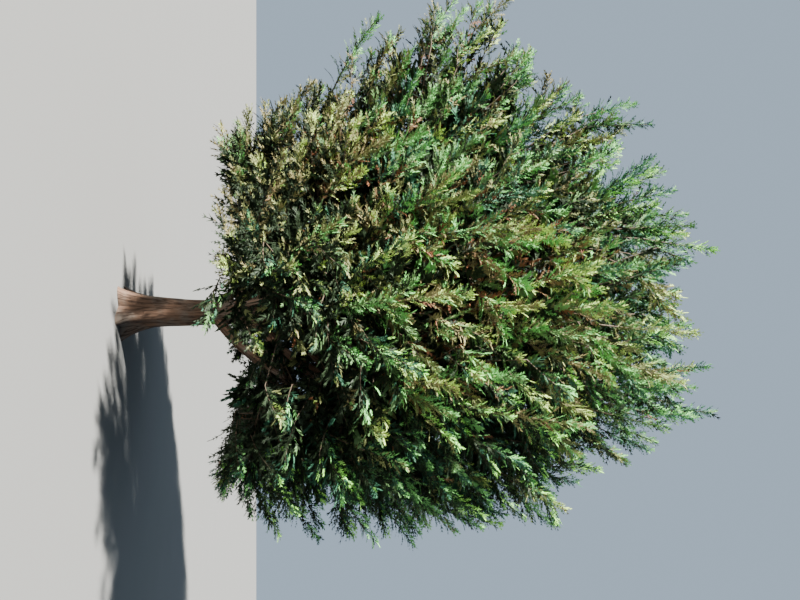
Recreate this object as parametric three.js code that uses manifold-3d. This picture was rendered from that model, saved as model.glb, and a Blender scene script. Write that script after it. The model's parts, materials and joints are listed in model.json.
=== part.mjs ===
// A Leyland cypress with a broad, rounded crown on a short trunk, as a tree looks that has grown out above a hedge.
// Millimetres, +Z up. The origin is the middle of the flat cut at ground level, +X is to the right and -Y is the
// side that is seen first.
//
// The crown is a fan: every bough leaves the trunk low down and heads outwards from one point on it, the fan point.
// Each bough has one mass of foliage at its end. The masses share the crown out by direction from the fan point, so
// each mass has a cone of its own and never meets its neighbours.
import * as THREE from "three";
import { mergeVertices } from "three/addons/utils/BufferGeometryUtils.js";
import Module from "manifold-3d";

// Size of the whole tree
const FAN_HEIGHT = 3000; // height of the fan point
const CROWN_RADIUS = 3650; // from the trunk's axis to the mean surface of the foliage
const CROWN_RISE = 7130; // from the fan point up to the mean surface of the foliage
const SKIRT_DROP = 2100; // from the fan point down to the lowest foliage
const CROWN_SQUARENESS = 3.8; // 2 gives an ellipse, more gives fuller shoulders
const SKIRT_SQUARENESS = 2.4;
const LOWEST_ELEVATION = -24; // degrees, seen from the fan point
const LOWEST_FOLIAGE = 1150; // no foliage hangs below this height

// Places where the crown's surface stands proud of the even shape or falls short of it.
// azimuth 0 is +X and -90 is the side that is seen first; rise is a share of the reach, and spread is in degrees.
const SWELLINGS = [
  { azimuth: 187, elevation: 32, rise: 0.5, spread: 11 }, // side leader that stands apart on the left
  { azimuth: 187, elevation: 46, rise: 0.24, spread: 9 },
  { azimuth: 188, elevation: 19, rise: 0.32, spread: 10 },
  { azimuth: 188, elevation: 58, rise: 0.19, spread: 6 }, // left shoulder
  { azimuth: 202, elevation: 66, rise: 0.06, spread: 9 },
  { azimuth: 190, elevation: 10, rise: 0.09, spread: 20 }, // lower left
  { azimuth: -10, elevation: 26, rise: 0.14, spread: 20 }, // right side
  { azimuth: -20, elevation: 4, rise: 0.05, spread: 18 },
  { azimuth: -14, elevation: 49, rise: 0.13, spread: 6 }, // right shoulder, with a dent above it
  { azimuth: -19, elevation: 59, rise: -0.1, spread: 6 },
  { azimuth: -8, elevation: 67, rise: 0.05, spread: 8 },
  { azimuth: -35, elevation: 74, rise: 0.13, spread: 6 }, // spires at the top
  { azimuth: 220, elevation: 82, rise: 0.12, spread: 7 },
  { azimuth: -100, elevation: 12, rise: -0.05, spread: 22 }, // low on the side that is seen first
  { azimuth: 95, elevation: 30, rise: 0.06, spread: 25 }, // far side
];

// Trunk
const TRUNK_HEIGHT = 7400;
const TRUNK_FOOT_RADIUS = 250;
const TRUNK_TIP_RADIUS = 38;
const TRUNK_TAPER = 0.85;
const FLARE_RADIUS = 150; // added to the foot where the roots spread
const FLARE_HEIGHT = 330;
const ROOT_RIDGES = 5;
const RIDGE_DEPTH = 0.8; // share of the flare by which it stands out at a ridge and falls back between ridges
const TRUNK_LEAN = 170; // sideways at the tip
const TRUNK_SWAY = 60;
const TRUNK_SIDES = 15;
const TRUNK_RINGS = 13;

// Tiers of boughs, from the skirt up. elevation and turn are degrees at the fan point, inner is the distance from
// the fan point to where a bough enters its foliage, and leaves is the height at which boughs leave the trunk.
const TIERS = [
  { name: "skirt", count: 6, elevation: -9, turn: 22, inner: 1400, leaves: 1750 },
  { name: "lower", count: 7, elevation: 15, turn: -38, inner: 1500, leaves: 2300 },
  { name: "middle", count: 7, elevation: 36, turn: -16, inner: 1950, leaves: 2950 },
  { name: "upper", count: 5, elevation: 55, turn: 56, inner: 3000, leaves: 3800 },
  { name: "crown", count: 3, elevation: 71, turn: 80, inner: 3900, leaves: 5000 },
];
const TIER_STAGGER = 460; // the boughs of a tier leave the trunk within this height, neighbours well apart
const UNEVEN_TURN = 0.24; // share of the step between a tier's boughs by which one may stand off its even place
const UNEVEN_ELEVATION = 5; // degrees
const BOUGH_FOOT_RADIUS = 78;
const BOUGH_TIP_RADIUS = 40;
const BOUGH_SIDES = 5;
const BOUGH_RINGS = 3;
const BOUGH_SAG = 0.16; // share of a bough's length by which its middle hangs below the straight line
const COLLAR = 0.35; // swelling where a bough leaves the trunk, as a share of its radius
const COLLAR_LENGTH = 0.14; // share of the bough's length over which the swelling fades

// Masses of foliage
const STEM_SIDES = 5;
const STEM_RINGS = 3;
const STEM_TIP_RADIUS = 14;
const STEM_SHARE = 0.8; // how far along its axis the stem runs
const STEM_BEND = 0.45; // how long the stem keeps the bough's direction
const CORE_SHARE = 0.9; // size of the dense core within the mass's space
const CORE_DEPTH = 700; // how far the dense core stays below the crown's surface
const CORE_STEP = 40; // the core's corners are found in steps of this length
const TWIG_SIDES = 3;
const TWIG_FOOT_RADIUS = 26;
const TWIG_TIP_RADIUS = 9;
const TWIG_SHARE = 0.2; // how far a twig runs into its plume
const TWIG_LOWEST = 0.15; // share of the stem at which the outermost twigs leave it
const TWIG_HIGHEST = 0.85;
const PLUME_AREA = 0.78e6; // square millimetres of the crown's surface for each plume
const FEWEST_PLUMES = 6;
const MOST_PLUMES = 11;
const PLUME_LENGTH = 1500;
const PLUME_WIDTH = 740;
const PLUME_THICKNESS = 230;
const PLUME_KEEL = 0.5; // share of the length at which a plume is thickest
const PLUME_UPTURN = 0.42; // how much a plume turns up from its outward direction
const PLUME_SPREAD = 0.5; // how much a plume turns away from its mass's axis
const PLUME_SIZES = [0.82, 1.12];
const PLUME_REACHES = [0.98, 1.025]; // where plumes end, as a share of the crown's reach
const STRAY_PART = 0.2; // part of the plumes that stand out further than the rest
const STRAY_REACH = 0.04;
const DRAWS = [0.98, 0.88, 0.76, 0.62, 0.45]; // a plume that doesn't fit is drawn in towards the mass's axis
// One side of a toothed plume: share of its length, share of its half width. The other side's teeth sit further on.
const PLUME_TEETH = [
  [0.5, 1.0],
  [0.6, 0.5],
];
const TEETH_SHIFT = 0.06;

// Fits
const JOINT_GAP = 0.35; // between a bough and the trunk, and between a bough and its foliage
const SPACE_GAP = 12; // from a mass to the edge of its cone
const WIDEST_CONE = 0.9; // radians from a mass's heading
const CONE_STEP = 0.01; // the edge of a cone is found in steps of this angle
const LIMB_CLEARANCE = 70; // from a mass's first twig or core to the bough's tip
const SMALLEST = 2; // slivers finer than this, left where twigs are fused, are taken out

const BARK_COLOUR = "#6b5544";
const FOLIAGE_COLOURS = ["#5f7f55", "#6d8a5c", "#57775a", "#77895a"];

const wasm = await Module();
wasm.setup();

const fanPoint = new THREE.Vector3(0, 0, FAN_HEIGHT);
const up = new THREE.Vector3(0, 0, 1);
const GOLDEN_SHARE = (Math.sqrt(5) - 1) / 2;
const GOLDEN_ANGLE = Math.PI * 2 * (1 - GOLDEN_SHARE);

// Repeatable scatter between 0 and 1 for an item and one of its features.
function scatter(item, feature) {
  const value = Math.sin(item * 12.9898 + feature * 78.233) * 43758.5453;
  return value - Math.floor(value);
}

function direction(azimuth, elevation) {
  const a = THREE.MathUtils.degToRad(azimuth);
  const e = THREE.MathUtils.degToRad(elevation);
  return new THREE.Vector3(Math.cos(a) * Math.cos(e), Math.sin(a) * Math.cos(e), Math.sin(e));
}

// Distance from the fan point to the mean surface of the foliage.
function crownReach(heading) {
  const level = Math.hypot(heading.x, heading.y);
  const [rise, power] = heading.z > 0 ? [CROWN_RISE, CROWN_SQUARENESS] : [SKIRT_DROP, SKIRT_SQUARENESS];
  const even = ((level / CROWN_RADIUS) ** power + (Math.abs(heading.z) / rise) ** power) ** (-1 / power);
  const swelling = SWELLINGS.reduce((sum, s) => {
    const apart = THREE.MathUtils.radToDeg(heading.angleTo(direction(s.azimuth, s.elevation)));
    return sum + s.rise * Math.exp(-((apart / s.spread) ** 2));
  }, 0);
  return even * (1 + swelling);
}

// A closed solid from a geometry, with only its places kept.
function solid(geometry) {
  const bare = geometry.clone();
  bare.deleteAttribute("normal");
  bare.deleteAttribute("uv");
  const merged = mergeVertices(bare, 1e-3);
  const mesh = new wasm.Mesh({
    numProp: 3,
    vertProperties: merged.getAttribute("position").array,
    triVerts: new Uint32Array(merged.index.array),
  });
  return new wasm.Manifold(mesh);
}

function geometryOf(body) {
  const mesh = body.getMesh();
  const places = new Float32Array(mesh.numVert * 3);
  for (let i = 0; i < mesh.numVert; i++) {
    places.set(mesh.vertProperties.subarray(i * mesh.numProp, i * mesh.numProp + 3), i * 3);
  }
  return new THREE.BufferGeometry()
    .setAttribute("position", new THREE.BufferAttribute(places, 3))
    .setIndex(new THREE.BufferAttribute(mesh.triVerts, 1));
}

// A tapering limb along a curve: a capped cylinder whose rings are carried to the curve.
// radiusAt gives the radius at a share of the length and an angle round the limb.
function limb(curve, radiusAt, sides, rings) {
  const geometry = new THREE.CylinderGeometry(1, 1, 1, sides, rings);
  const place = geometry.getAttribute("position");
  const side = new THREE.Vector3();
  const other = new THREE.Vector3();
  const steepest = 0.9;
  for (let i = 0; i < place.count; i++) {
    const share = place.getY(i) + 0.5;
    const along = curve.getTangent(share);
    side.crossVectors(Math.abs(along.z) < steepest ? up : new THREE.Vector3(1, 0, 0), along).normalize();
    other.crossVectors(side, along);
    const angle = Math.atan2(place.getX(i), place.getZ(i));
    const radius = Math.hypot(place.getX(i), place.getZ(i)) * radiusAt(share, angle);
    const point = curve
      .getPoint(share)
      .addScaledVector(side, radius * Math.sin(angle))
      .addScaledVector(other, radius * Math.cos(angle));
    place.setXYZ(i, point.x, point.y, point.z);
  }
  return geometry;
}

// The trunk's middle at a height. It leaves the ground upright.
function trunkMiddle(height) {
  const share = height / TRUNK_HEIGHT;
  const sway = TRUNK_SWAY * Math.sin(Math.PI * 2 * share);
  return new THREE.Vector3(TRUNK_LEAN * share ** 2 + sway * share, -sway * share, height);
}

function trunkRadius(height, angle = 0) {
  const taper = (1 - height / TRUNK_HEIGHT) ** TRUNK_TAPER;
  const flare = FLARE_RADIUS * Math.exp(-height / FLARE_HEIGHT) * (1 + RIDGE_DEPTH * Math.cos(ROOT_RIDGES * angle));
  return THREE.MathUtils.lerp(TRUNK_TIP_RADIUS, TRUNK_FOOT_RADIUS, taper) + flare;
}

// Rings are closer together near the foot, where the trunk flares. Each ring is level.
function trunkGeometry(extra = 0) {
  const geometry = new THREE.CylinderGeometry(1, 1, 1, TRUNK_SIDES, TRUNK_RINGS);
  geometry.rotateX(Math.PI / 2);
  const place = geometry.getAttribute("position");
  for (let i = 0; i < place.count; i++) {
    const height = TRUNK_HEIGHT * (place.getZ(i) + 0.5) ** 2;
    const angle = Math.atan2(place.getY(i), place.getX(i));
    const radius = Math.hypot(place.getX(i), place.getY(i)) * (trunkRadius(height, angle) + extra);
    const middle = trunkMiddle(height);
    place.setXYZ(i, middle.x + radius * Math.cos(angle), middle.y + radius * Math.sin(angle), height);
  }
  return geometry;
}

// Every mass of the crown: its heading from the fan point, where its foliage begins and the bough that bears it.
function layOutMasses() {
  const masses = TIERS.flatMap((tier, level) =>
    Array.from({ length: tier.count }, (_, i) => {
      const item = level * 10 + i;
      const azimuth = tier.turn + (360 / tier.count) * (i + UNEVEN_TURN * (scatter(item, 1) - 0.5));
      const elevation = tier.elevation + UNEVEN_ELEVATION * (scatter(item, 2) - 0.5);
      const heading = direction(azimuth, elevation);
      const start = fanPoint.clone().addScaledVector(heading, tier.inner);
      const leaves = tier.leaves + TIER_STAGGER * (((i * GOLDEN_SHARE) % 1) - 0.5);
      return { name: `${tier.name}_${i + 1}`, item, heading, start, leaves };
    }),
  );
  masses.push({ name: "leader", item: 99, heading: up.clone(), start: trunkMiddle(TRUNK_HEIGHT), leaves: null });
  masses.forEach((mass) => {
    mass.inner = mass.start.clone().sub(fanPoint).dot(mass.heading);
    mass.tip = fanPoint.clone().addScaledVector(mass.heading, crownReach(mass.heading));
    mass.edges = masses
      .filter((other) => other !== mass)
      .map((other) => mass.heading.clone().sub(other.heading).normalize());
  });
  return masses;
}

// True if every point is in the mass's cone, beyond its bough's tip and above the lowest foliage.
function fits(mass, points) {
  return points.every((point) => {
    const away = point.clone().sub(fanPoint);
    return (
      point.z > LOWEST_FOLIAGE &&
      away.dot(mass.heading) > mass.inner + LIMB_CLEARANCE &&
      mass.edges.every((edge) => away.dot(edge) > SPACE_GAP)
    );
  });
}

// How far a mass's cone runs from its heading, in radians, towards a neighbouring direction.
function coneWidth(mass, towards) {
  let angle = 0;
  const lowest = Math.sin(THREE.MathUtils.degToRad(LOWEST_ELEVATION));
  for (; angle < WIDEST_CONE; angle += CONE_STEP) {
    const heading = turned(mass.heading, towards, angle + CONE_STEP);
    if (heading.z < lowest || mass.edges.some((edge) => heading.dot(edge) < 0)) break;
  }
  return angle;
}

function turned(heading, towards, angle) {
  return heading.clone().multiplyScalar(Math.cos(angle)).addScaledVector(towards, Math.sin(angle));
}

// Two directions square to a heading, the first one level.
function crossDirections(heading) {
  const steepest = 0.99;
  const aside = Math.abs(heading.z) < steepest ? up : new THREE.Vector3(0, 1, 0);
  const level = new THREE.Vector3().crossVectors(aside, heading).normalize();
  return [level, new THREE.Vector3().crossVectors(heading, level)];
}

// The bough from the trunk to where its foliage begins. It leaves nearly level, sags and then climbs.
function boughCurve(mass) {
  const foot = trunkMiddle(mass.leaves);
  const middle = foot.clone().lerp(mass.start, 0.5);
  middle.z -= BOUGH_SAG * foot.distanceTo(mass.start);
  return new THREE.QuadraticBezierCurve3(foot, middle, mass.start);
}

function boughBody(mass, trunkCutter) {
  const taper = (share) =>
    THREE.MathUtils.lerp(BOUGH_FOOT_RADIUS, BOUGH_TIP_RADIUS, share) * (1 + COLLAR * Math.exp(-share / COLLAR_LENGTH));
  return solid(limb(boughCurve(mass), taper, BOUGH_SIDES, BOUGH_RINGS)).subtract(trunkCutter);
}

// The stem runs on from the bough's tip and bends up towards the mass's own tip.
function stemCurve(mass) {
  const arrives = mass.leaves === null ? up.clone() : boughCurve(mass).getTangent(1);
  const foot = mass.start.clone().addScaledVector(arrives, JOINT_GAP);
  const length = foot.distanceTo(mass.tip) * STEM_SHARE;
  const tip = foot.clone().lerp(mass.tip, STEM_SHARE);
  return new THREE.QuadraticBezierCurve3(foot, foot.clone().addScaledVector(arrives, length * STEM_BEND), tip);
}

// The dense middle of a mass: a faceted ball drawn out towards the edges of the mass's space.
function coreGeometry(mass) {
  const outer = crownReach(mass.heading) - CORE_DEPTH;
  const middle = fanPoint.clone().addScaledVector(mass.heading, (mass.inner + outer) / 2);
  const geometry = new THREE.IcosahedronGeometry(1, 1);
  const place = geometry.getAttribute("position");
  for (let i = 0; i < place.count; i++) {
    const towards = new THREE.Vector3().fromBufferAttribute(place, i).normalize();
    let distance = CORE_STEP;
    const inside = (point) => {
      const away = point.clone().sub(fanPoint);
      return fits(mass, [point]) && away.length() < crownReach(away.clone().normalize()) - CORE_DEPTH;
    };
    while (inside(middle.clone().addScaledVector(towards, distance + CORE_STEP))) distance += CORE_STEP;
    const point = middle.clone().addScaledVector(towards, distance * CORE_SHARE);
    place.setXYZ(i, point.x, point.y, point.z);
  }
  return geometry;
}

// A flat spray with teeth: an outline in the plane of along and across, thickest at its middle.
function plumeGeometry(foot, along, across, length, width) {
  const flat = new THREE.Vector3().crossVectors(across, along);
  const at = (share, side, lift = 0) =>
    foot
      .clone()
      .addScaledVector(along, share * length)
      .addScaledVector(across, (side * width) / 2)
      .addScaledVector(flat, (lift * PLUME_THICKNESS) / 2);
  const right = PLUME_TEETH.map(([share, side]) => at(share, side));
  const left = PLUME_TEETH.map(([share, side]) => at(share + TEETH_SHIFT, -side)).reverse();
  const outline = [at(0, 0), ...right, at(1, 0), ...left];
  const points = [...outline, at(PLUME_KEEL, 0, 1), at(PLUME_KEEL, 0, -1)];
  const faces = outline.flatMap((_, i) => {
    const next = (i + 1) % outline.length;
    return [i, next, outline.length, next, i, outline.length + 1];
  });
  return new THREE.BufferGeometry().setFromPoints(points).setIndex(faces);
}

// Number of plumes on a mass, by the stretch of the crown's surface that it covers.
function plumeCount(mass) {
  const [level, steep] = crossDirections(mass.heading);
  const sides = [level, steep, level.clone().negate(), steep.clone().negate()];
  const width = sides.reduce((sum, side) => sum + coneWidth(mass, side) / sides.length, 0);
  const area = Math.PI * (width * crownReach(mass.heading)) ** 2;
  return THREE.MathUtils.clamp(Math.round(area / PLUME_AREA), FEWEST_PLUMES, MOST_PLUMES);
}

// The plumes of a mass, set out like the seeds of a sunflower round its heading. Each is a twig from the stem with
// one toothed spray that reaches the crown's surface.
function plumeBodies(mass) {
  const [level, steep] = crossDirections(mass.heading);
  const stem = stemCurve(mass);
  const count = plumeCount(mass);
  const bodies = [];
  for (let k = 0; k < count; k++) {
    const item = mass.item * 100 + k;
    const turn = GOLDEN_ANGLE * k + Math.PI * 2 * scatter(mass.item, 5);
    const towards = level.clone().multiplyScalar(Math.cos(turn)).addScaledVector(steep, Math.sin(turn));
    const outward = Math.sqrt((k + 0.35) / count);
    const width = coneWidth(mass, towards);
    const size = THREE.MathUtils.lerp(...PLUME_SIZES, scatter(item, 6));
    const stray = scatter(item, 8) < STRAY_PART ? STRAY_REACH : 0;
    const reach = THREE.MathUtils.lerp(...PLUME_REACHES, scatter(item, 7)) + stray;
    const twigFoot = stem.getPoint(THREE.MathUtils.lerp(TWIG_HIGHEST, TWIG_LOWEST, outward));
    for (const draw of DRAWS) {
      const heading = turned(mass.heading, towards, width * outward * draw);
      const tip = fanPoint.clone().addScaledVector(heading, crownReach(heading) * reach);
      const along = heading.clone().addScaledVector(up, PLUME_UPTURN);
      along.addScaledVector(towards, PLUME_SPREAD * outward).normalize();
      const length = PLUME_LENGTH * size;
      const foot = tip.clone().addScaledVector(along, -length);
      const across = new THREE.Vector3().crossVectors(along, level).cross(along).normalize();
      across.applyAxisAngle(along, Math.PI * scatter(item, 9));
      const spray = plumeGeometry(foot, along, across, length, PLUME_WIDTH * size);
      const twigTip = foot.clone().addScaledVector(along, length * TWIG_SHARE);
      const taper = (share) => THREE.MathUtils.lerp(TWIG_FOOT_RADIUS, TWIG_TIP_RADIUS, share);
      const twig = limb(new THREE.LineCurve3(twigFoot, twigTip), taper, TWIG_SIDES, 1);
      const places = [spray, twig].flatMap((geometry) => {
        const place = geometry.getAttribute("position");
        return Array.from({ length: place.count }, (_, i) => new THREE.Vector3().fromBufferAttribute(place, i));
      });
      if (!fits(mass, places)) continue;
      bodies.push(solid(spray), solid(twig));
      break;
    }
  }
  return bodies;
}

function foliageBody(mass) {
  const footRadius = mass.leaves === null ? TRUNK_TIP_RADIUS : BOUGH_TIP_RADIUS;
  const taper = (share) => THREE.MathUtils.lerp(footRadius, STEM_TIP_RADIUS, share);
  const stem = solid(limb(stemCurve(mass), taper, STEM_SIDES, STEM_RINGS));
  const joined = wasm.Manifold.union([stem, solid(coreGeometry(mass)), ...plumeBodies(mass)]);
  return outerSkin(joined.simplify(SMALLEST));
}

// Fusing can leave a loose scrap or a sealed hollow, so only the skin of the largest piece is kept. That is done
// again until nothing changes, because a hollow that touched the skin at one point may have come apart from it.
function outerSkin(body) {
  const [largest] = solid(geometryOf(body)).decompose().sort((a, b) => b.volume() - a.volume());
  return largest.numTri() === body.numTri() ? largest : outerSkin(largest);
}

function part(name, geometry, colour) {
  const material = new THREE.MeshStandardMaterial({ color: colour, roughness: 0.85, metalness: 0 });
  const mesh = new THREE.Mesh(geometry, material);
  mesh.name = name;
  return mesh;
}

const tree = new THREE.Group();
const trunkCutter = solid(trunkGeometry(JOINT_GAP));
tree.add(part("trunk", trunkGeometry(), BARK_COLOUR));
layOutMasses().forEach((mass, i) => {
  if (mass.leaves !== null) {
    tree.add(part(`bough_${mass.name}`, geometryOf(boughBody(mass, trunkCutter)), BARK_COLOUR));
  }
  const green = FOLIAGE_COLOURS[i % FOLIAGE_COLOURS.length];
  tree.add(part(`foliage_${mass.name}`, geometryOf(foliageBody(mass)), green));
});

export default tree;
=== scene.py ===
# A Leyland cypress with a broad, rounded crown of upswept feathery plumes on a short trunk.
# Metres, +Z up. The origin is the middle of the flat cut at ground level, +X is to the right and -Y is the
# side that is seen first.
#
# The tree grows by one rule. Boughs fan out from the trunk and end where they enter their foliage. There a
# stem goes on, twigs leave the stem, each twig ends in a plume, a plume bears shoots round its axis, and a
# shoot bears flat sprays to both sides.

import json
import math
import random
from types import SimpleNamespace

import bpy
import numpy as np
from mathutils import Matrix, Quaternion, Vector, noise

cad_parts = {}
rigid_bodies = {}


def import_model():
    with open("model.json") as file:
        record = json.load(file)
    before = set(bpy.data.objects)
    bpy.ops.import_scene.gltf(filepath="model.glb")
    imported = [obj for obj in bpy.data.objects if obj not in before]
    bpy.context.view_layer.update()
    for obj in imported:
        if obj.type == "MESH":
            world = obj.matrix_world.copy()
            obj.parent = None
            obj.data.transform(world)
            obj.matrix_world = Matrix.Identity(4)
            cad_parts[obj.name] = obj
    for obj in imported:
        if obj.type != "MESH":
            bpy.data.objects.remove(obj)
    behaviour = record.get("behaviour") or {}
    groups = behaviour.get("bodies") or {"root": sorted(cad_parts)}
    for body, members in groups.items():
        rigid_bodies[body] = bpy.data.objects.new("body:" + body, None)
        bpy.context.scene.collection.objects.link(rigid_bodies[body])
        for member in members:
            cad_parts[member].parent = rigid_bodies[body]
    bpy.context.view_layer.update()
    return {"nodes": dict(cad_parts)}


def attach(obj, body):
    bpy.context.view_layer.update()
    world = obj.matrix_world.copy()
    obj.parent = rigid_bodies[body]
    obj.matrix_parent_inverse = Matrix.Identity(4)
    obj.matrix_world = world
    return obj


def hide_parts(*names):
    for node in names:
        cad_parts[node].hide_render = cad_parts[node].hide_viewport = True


bl_info = {
    "name": "Leyland Cypress",
    "version": (1, 0, 0),
    "blender": (4, 5, 0),
    "location": "View3D > Sidebar > Cypress",
    "description": "Bark, boughs, twigs and feathery sprays of a Leyland cypress, grown by one rule",
    "category": "Add Mesh",
}

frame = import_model()
FOLIAGE_NODES = sorted(name for name in frame["nodes"] if name.startswith("foliage_"))
BOUGH_NODES = sorted(name for name in frame["nodes"] if name.startswith("bough_"))

UP = Vector((0, 0, 1))

# Size of the whole tree, as in the part's source
FAN_POINT = Vector((0, 0, 3.0))  # headings and reaches are taken from here
CROWN_RADIUS = 3.65  # from the trunk's axis to the mean surface of the foliage
CROWN_RISE = 7.13  # from the fan point up to that surface
SKIRT_DROP = 2.1  # and down to it
CROWN_SQUARENESS = 3.8  # 2 gives an ellipse, more gives fuller shoulders
SKIRT_SQUARENESS = 2.4
LOWEST_ELEVATION = -24  # degrees, seen from the fan point
LOWEST_FOLIAGE = 1.15  # no plume begins or ends below this height

# Azimuth and elevation in degrees, rise as a share of the reach, spread in degrees
SWELLINGS = [
    (187, 32, 0.5, 11),
    (187, 46, 0.24, 9),
    (188, 19, 0.32, 10),
    (188, 58, 0.19, 6),
    (202, 66, 0.06, 9),
    (190, 10, 0.09, 20),
    (-10, 26, 0.14, 20),
    (-20, 4, 0.05, 18),
    (-14, 49, 0.13, 6),
    (-19, 59, -0.1, 6),
    (-8, 67, 0.05, 8),
    (-35, 74, 0.13, 6),
    (220, 82, 0.12, 7),
    (-100, 12, -0.05, 22),
    (95, 30, 0.06, 25),
]

# Trunk and boughs, as in the part's source. inner is how far from the fan point a tier's foliage begins, and
# leaves the height at which its boughs leave the trunk.
TRUNK_HEIGHT = 7.4
TRUNK_FOOT_RADIUS = 0.25
TRUNK_TIP_RADIUS = 0.038
TRUNK_TAPER = 0.85
FLARE_RADIUS = 0.15
FLARE_HEIGHT = 0.33
ROOT_RIDGES = 5
RIDGE_DEPTH = 0.8
TRUNK_LEAN = 0.17
TRUNK_SWAY = 0.06
TIERS = [
    SimpleNamespace(count=6, elevation=-9, turn=22, inner=1.4, leaves=1.75),  # skirt
    SimpleNamespace(count=7, elevation=15, turn=-38, inner=1.5, leaves=2.3),  # lower
    SimpleNamespace(count=7, elevation=36, turn=-16, inner=1.95, leaves=2.95),  # middle
    SimpleNamespace(count=5, elevation=55, turn=56, inner=3.0, leaves=3.8),  # upper
    SimpleNamespace(count=3, elevation=71, turn=80, inner=3.9, leaves=5.0),  # crown
]
TIER_STAGGER = 0.46
UNEVEN_TURN = 0.24
UNEVEN_ELEVATION = 5
BOUGH_FOOT_RADIUS = 0.078
BOUGH_TIP_RADIUS = 0.04
BOUGH_SAG = 0.16
COLLAR = 0.35
COLLAR_LENGTH = 0.14

# Relief of the bark. Its strips, fibres and lumps have a fineness round the limb and one along it.
RELIEF = SimpleNamespace(
    strips=(17, 1.4),
    fibres=(60, 4),
    lumps=(4, 1.3),
    steepness=5,  # of the fissures' sides
    level=0.6,  # height of the plates at which they lie on the limb's own radius
    fibre_share=0.3,
    lump_share=1.4,
    on_boughs=0.45,
    at_foot=0.4,  # share of the depth at the cut, from where it grows
    foot_height=0.02,
    full_radius=0.2,  # a thinner trunk has a shallower relief
)
RING_CROWDING = 1.5  # how much closer together the trunk's rings are at its foot

# Foliage, as in the part's source
STEM_TIP_RADIUS = 0.014
STEM_SHARE = 0.8
STEM_BEND = 0.45
TWIG_FOOT_RADIUS = 0.026
TWIG_LOWEST = 0.15
TWIG_HIGHEST = 0.85
PLUME_AREA = 0.78
FEWEST_PLUMES = 6
MOST_PLUMES = 11
PLUME_LENGTH = 1.5
PLUME_WIDTH = 0.74
PLUME_THICKNESS = 0.23
PLUME_UPTURN = 0.42
PLUME_SPREAD = 0.5
PLUME_SIZES = (0.82, 1.12)
PLUME_REACHES = (0.98, 1.025)
STRAY_PART = 0.2
STRAY_REACH = 0.04
DRAWS = (0.98, 0.88, 0.76, 0.62, 0.45)
JOINT_GAP = 0.00035
SPACE_GAP = 0.012
WIDEST_CONE = 0.9
CONE_STEP = 0.01
LIMB_CLEARANCE = 0.07
MAIN_START = 0.35  # how far out the first plume stands, in steps of the sunflower
GOLDEN_SHARE = (math.sqrt(5) - 1) / 2
GOLDEN_ANGLE = 2 * math.pi * (1 - GOLDEN_SHARE)

# Corners of a solid plume, as shares of its length, of half its width and of half its thickness
PLUME_CORNERS = [
    (0, 0, 0),
    (1, 0, 0),
    (0.5, 1, 0),
    (0.6, 0.5, 0),
    (0.56, -1, 0),
    (0.66, -0.5, 0),
    (0.5, 0, 1),
    (0.5, 0, -1),
]

# What the scatter is taken for: each item has a number, and so has each of its features
TIER_ITEMS = 10
PLUME_ITEMS = 100
FILLING_ITEMS = 1000
LEADER_ITEM = 99
FEATURE = SimpleNamespace(azimuth=1, elevation=2, turn=5, size=6, reach=7, stray=8, roll=9)
FILLING_FEATURE = SimpleNamespace(underside=13, swerve=17, upturn=18)
SHAPE_FEATURE = SimpleNamespace(lean=31, droop=32, fold=33, shift=34)

# Finer growth, which only this script makes. The filling plumes stand between the main ones, inside them and
# deep in the crown. ratio is their number to each main plume, reach the share of the crown's reach at which
# they end, and coarse how much larger and fewer their sprays are.
SLENDER_SHAPES = range(0, 4)  # numbers of the sprays' shapes: slender ones outside, broad ones inside
BROAD_SHAPES = range(4, 6)
MAIN = SimpleNamespace(inside=False, coarse=1.0)
FILLINGS = [
    SimpleNamespace(ratio=3.75, reach=(0.88, 1.01), length=0.78, feature=11, inside=False, coarse=1.08),
    SimpleNamespace(ratio=2.2, reach=(0.74, 0.9), length=0.9, feature=12, inside=True, coarse=2.45),
    SimpleNamespace(ratio=1.4, reach=(0.45, 0.72), length=0.85, feature=14, inside=True, coarse=3.6),
]
STEM_STEPS = 8
MAIN_THICKNESS = 0.85  # of a plume's wood, as a share of the twigs' foot radius
FILLING_THICKNESS = 0.55
FILLING_START = 0.6  # as MAIN_START, for the filling plumes
LEADER_OUT = (4.0, 5.0)  # a mass that ends so far to the left is the side leader
LEADER_FULLNESS = 0.3  # share of plumes that the side leader has more
EDGE_FALL = 0.02  # share of the reach by which a mass's surface falls back at its edge
TOP_FALL = 0.05  # share of the reach by which filling plumes stay lower at the top
TOP_HEADINGS = (0.84, 0.94)  # upward part of the headings from which the top begins and is full
EDGE_OVERLAP = 1.12  # filling plumes stand out past the edge of their mass's cone
UNDERSIDE = SimpleNamespace(drop=-0.25, outward=0.6, left_out=0.25)  # where and how many plumes are left out
SWERVE = 0.85  # how far filling plumes turn off to a side
UPTURN_SHARES = (-0.3, 1.0)  # how much of the main plumes' upturn filling plumes have
CLUMP_SCALE = 5.5  # how close together clumps of longer and shorter filling plumes are
CLUMP_DEPTH = 0.08  # share of the reach by which they come forward and fall back

# How far filling plumes lean out to the left and to the right. Pairs are sideways or upward parts of a
# heading, between which a lean sets in.
LEAN_OUT = SimpleNamespace(
    left=0.3,
    left_sides=(-0.05, -0.55),
    right=0.6,
    right_sides=(-0.35, 0.4),
    outward=0.3,  # how much a plume's own side of its mass counts
    low_shift=0.3,  # the lean to the right sets in sooner in the low masses
    low_rises=(0.5, 0.1),
    low_sides=(-0.75, -0.35),
    side_loss=0.6,  # masses at the very side have less of both
    side_headings=(0.55, 0.95),
)

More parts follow.
